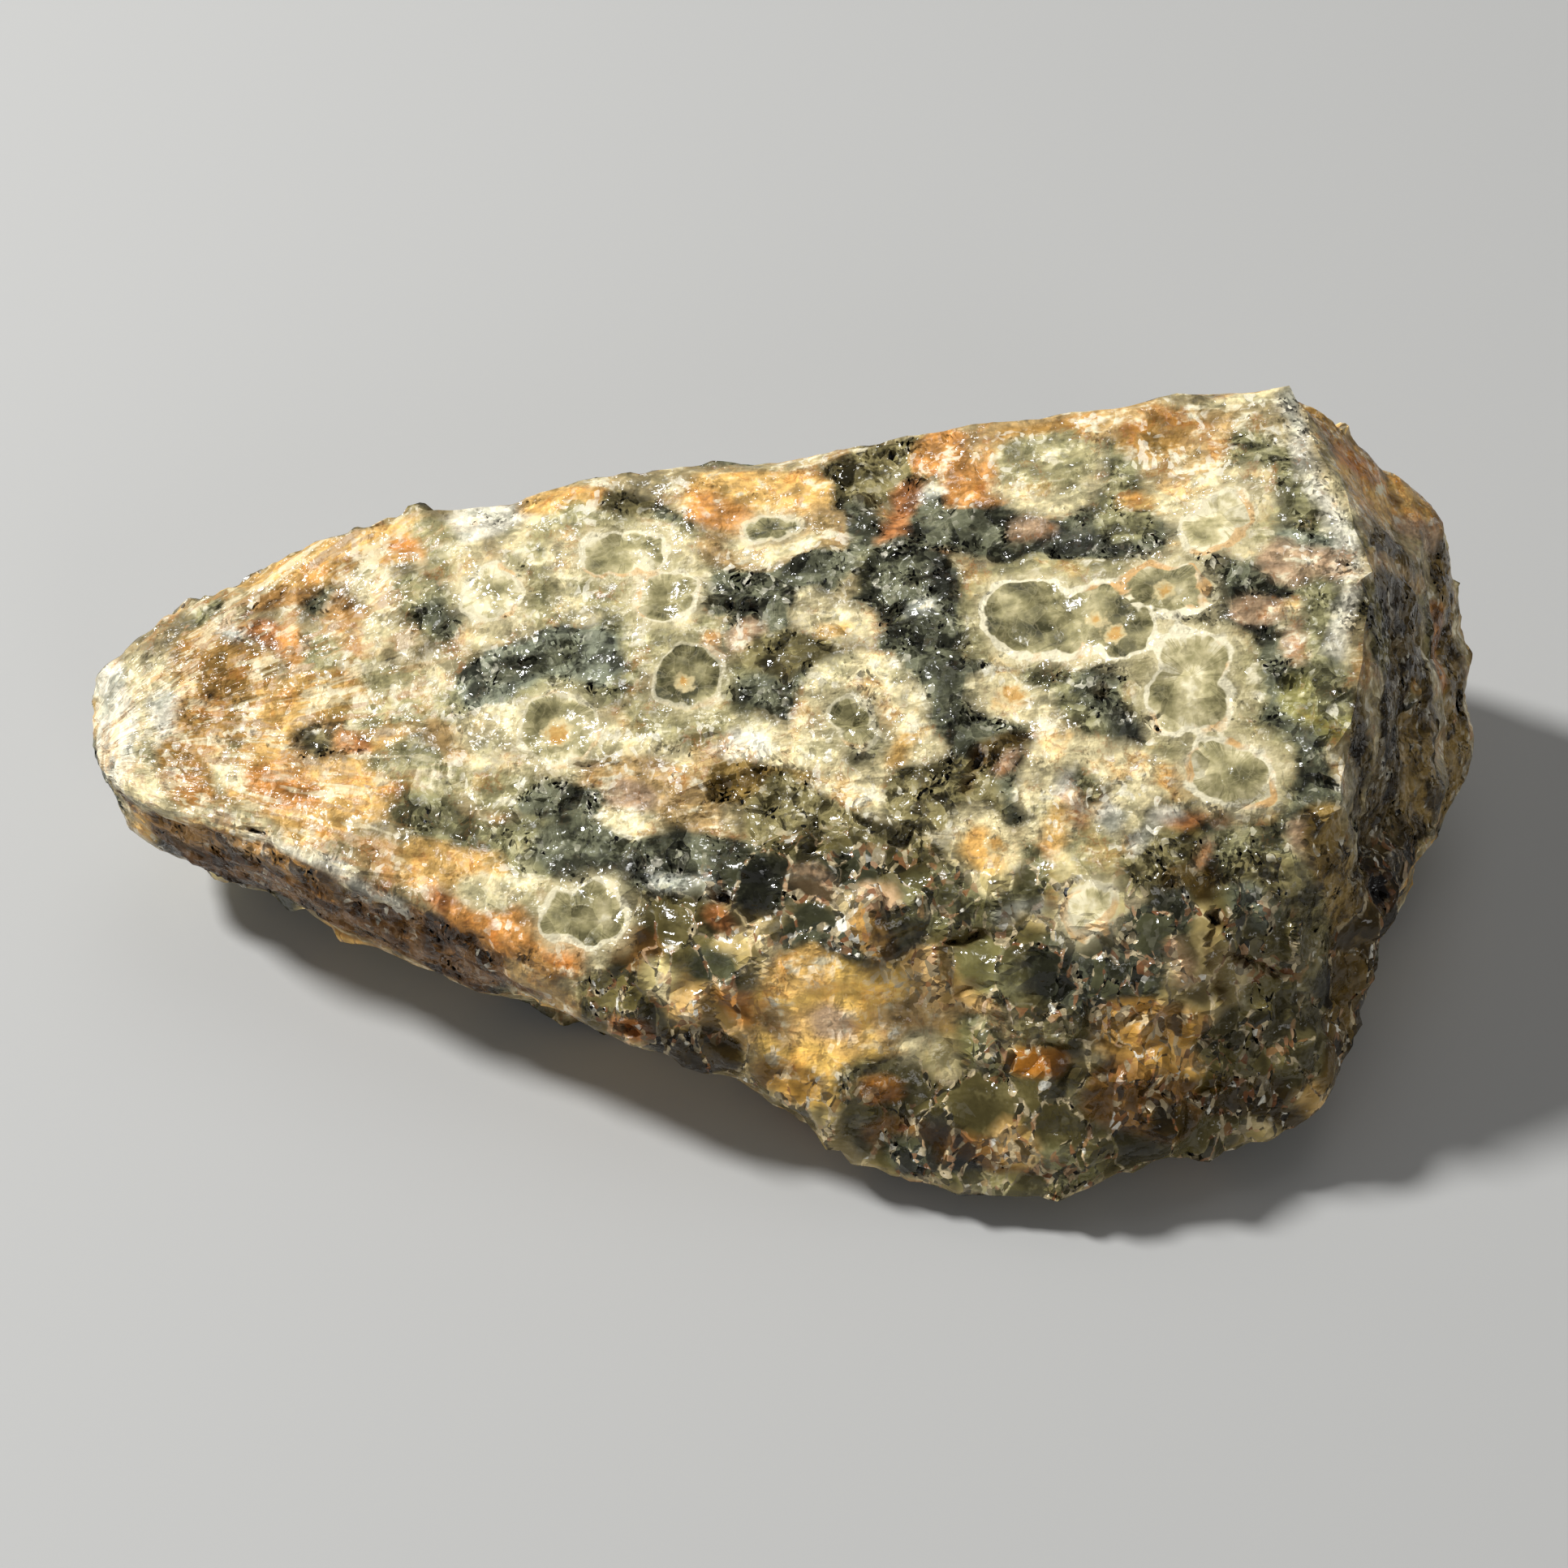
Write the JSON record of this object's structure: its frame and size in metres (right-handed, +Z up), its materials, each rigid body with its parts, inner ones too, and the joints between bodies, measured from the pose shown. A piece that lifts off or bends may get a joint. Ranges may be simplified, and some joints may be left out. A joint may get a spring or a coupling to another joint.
{
  "type": "rough ocean jasper",
  "caption": "Rough broken lump of ocean jasper: a low blunt tip, a tall broken end, one broad sloping face with orb pattern, and a flat underside facet that it lies on",
  "frame": {"origin": "middle of the bounding box, on the surface that the stone lies on", "axes": "+X along the stone towards its tall broken end, +Z up, the broad face turned to -Y"},
  "size_m": [0.071, 0.038, 0.0233],
  "materials": {
    "jasper": "raw broken chalcedony, waxy, with cream rings, olive black matrix and rust stain"
  },
  "bodies": {
    "root": {"stone": "jasper"}
  },
  "joints": []
}
